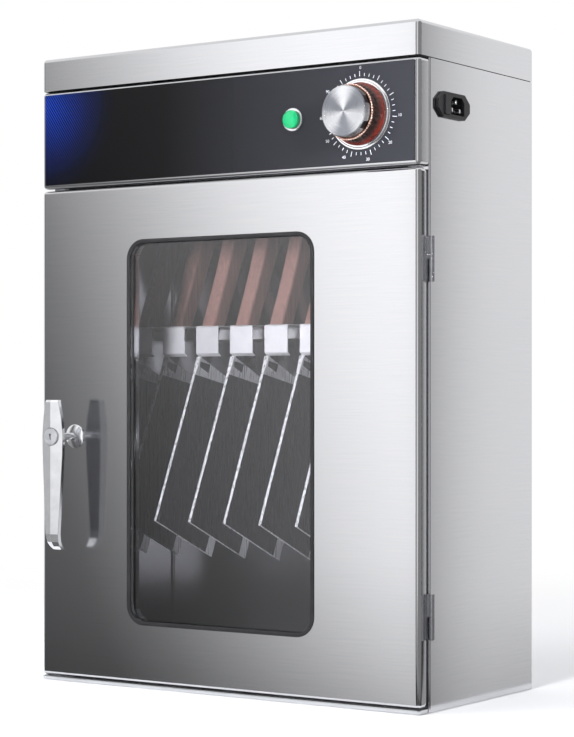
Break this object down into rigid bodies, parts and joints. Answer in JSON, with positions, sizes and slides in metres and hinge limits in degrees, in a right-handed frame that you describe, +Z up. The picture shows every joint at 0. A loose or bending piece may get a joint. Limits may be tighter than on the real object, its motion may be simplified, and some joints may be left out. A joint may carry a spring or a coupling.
{
  "type": "knife sterilizer cabinet",
  "caption": "Sheet-steel cabinet that dries and sterilizes kitchen knives: glazed lockable door, slotted rack, germicidal lamp, timer knob, pilot lamp and fused mains inlet.",
  "frame": {"origin": "middle of the cabinet's base, on the surface it stands on", "axes": "+Z up, +X to the right and -Y towards the person who opens the door"},
  "size_m": [0.4555, 0.2596, 0.635],
  "materials": {
    "brushed_steel": "brushed stainless sheet",
    "inner_steel": "plain stainless sheet",
    "chrome": "bright plated",
    "spun_aluminium": "spun",
    "copper_bead": "polished, copper toned",
    "red_brown_plastic": "moulded, fluted",
    "panel_black": "printed film",
    "black_plastic": "moulded",
    "black_rubber": "matt",
    "green_lens": "translucent",
    "clear_glass": "clear",
    "blade_steel": "ground",
    "brown_wood": "oiled",
    "lamp_glass": "clear tube",
    "white_plastic": "moulded",
    "dark_steel": "blackened"
  },
  "bodies": {
    "cabinet": {"body_wrapper": "brushed_steel", "base_pan": "inner_steel", "top_cap": "brushed_steel", "partition_shelf": "inner_steel", "control_panel": "brushed_steel", "panel_overlay": "panel_black", "dial_ring": "chrome", "timer_body": "white_plastic", "pilot_bezel": "chrome", "pilot_lens": "green_lens", "pilot_body": "black_plastic", "inlet_housing": "black_plastic", "inlet_pin_earth": "chrome", "inlet_pin_left": "chrome", "inlet_pin_right": "chrome", "hinge_upper_body_leaf": "dark_steel", "hinge_lower_body_leaf": "dark_steel", "hinge_upper_pin": "chrome", "hinge_lower_pin": "chrome", "rack_comb": "inner_steel", "rack_bracket_left": "inner_steel", "rack_bracket_right": "inner_steel", "uv_lamp_tube": "lamp_glass", "lamp_holder_left": "white_plastic", "lamp_holder_right": "white_plastic", "ballast": "white_plastic", "terminal_block": "white_plastic"},
    "door": {"door_skin": "brushed_steel", "door_inner_pan": "inner_steel", "window_gasket": "black_rubber", "window_glass": "clear_glass", "handle_rosette": "chrome", "rosette_nut": "dark_steel", "hinge_upper_door_leaf": "dark_steel", "hinge_lower_door_leaf": "dark_steel"},
    "handle": {"handle_grip": "chrome", "handle_shaft": "chrome", "latch_cam": "dark_steel", "cam_nut": "dark_steel"},
    "lock": {"lock_plug": "chrome"},
    "timer_knob": {"knob_skirt": "red_brown_plastic", "knob_bead_ring": "copper_bead", "knob_cap": "spun_aluminium", "timer_shaft": "dark_steel"},
    "fuse_tray": {"fuse_drawer": "black_plastic", "fuse_link": "lamp_glass"},
    "knife_1": {"knife_1_blade": "blade_steel", "knife_1_handle": "brown_wood"},
    "knife_2": {"knife_2_blade": "blade_steel", "knife_2_handle": "brown_wood"},
    "knife_3": {"knife_3_blade": "blade_steel", "knife_3_handle": "brown_wood"},
    "knife_4": {"knife_4_blade": "blade_steel", "knife_4_handle": "brown_wood"},
    "knife_5": {"knife_5_blade": "blade_steel", "knife_5_handle": "brown_wood"},
    "knife_6": {"knife_6_blade": "blade_steel", "knife_6_handle": "brown_wood"},
    "knife_7": {"knife_7_blade": "blade_steel", "knife_7_handle": "brown_wood"}
  },
  "joints": [
    {"name": "door_swing", "type": "hinge", "parent": "cabinet", "child": "door", "pos_m": [0.22775, -0.09225, 0.2525], "axis": [0, 0, 1], "range_deg": [0, 180]},
    {"name": "handle_turn", "type": "hinge", "parent": "door", "child": "handle", "pos_m": [-0.181, -0.11, 0.2496], "axis": [0, 1, 0], "range_deg": [0, 90]},
    {"name": "key_turn", "type": "hinge", "parent": "handle", "child": "lock", "pos_m": [-0.181, -0.11, 0.2496], "axis": [0, 1, 0], "range_deg": [0, 90]},
    {"name": "timer_turn", "type": "hinge", "parent": "cabinet", "child": "timer_knob", "pos_m": [0.162, -0.1108, 0.5515], "axis": [0, 1, 0], "range_deg": [0, 300]},
    {"name": "fuse_tray_slide", "type": "slide", "parent": "cabinet", "child": "fuse_tray", "axis": [1, 0, 0], "range_m": [0, 0.018]},
    {"name": "knife_1_lift", "type": "slide", "parent": "cabinet", "child": "knife_1", "axis": [0, 0.4051, 0.9143], "range_m": [0, 0.02]},
    {"name": "knife_2_lift", "type": "slide", "parent": "cabinet", "child": "knife_2", "axis": [0, 0.4051, 0.9143], "range_m": [0, 0.02]},
    {"name": "knife_3_lift", "type": "slide", "parent": "cabinet", "child": "knife_3", "axis": [0, 0.4051, 0.9143], "range_m": [0, 0.02]},
    {"name": "knife_4_lift", "type": "slide", "parent": "cabinet", "child": "knife_4", "axis": [0, 0.4051, 0.9143], "range_m": [0, 0.02]},
    {"name": "knife_5_lift", "type": "slide", "parent": "cabinet", "child": "knife_5", "axis": [0, 0.4051, 0.9143], "range_m": [0, 0.02]},
    {"name": "knife_6_lift", "type": "slide", "parent": "cabinet", "child": "knife_6", "axis": [0, 0.4051, 0.9143], "range_m": [0, 0.02]},
    {"name": "knife_7_lift", "type": "slide", "parent": "cabinet", "child": "knife_7", "axis": [0, 0.4051, 0.9143], "range_m": [0, 0.02]}
  ]
}
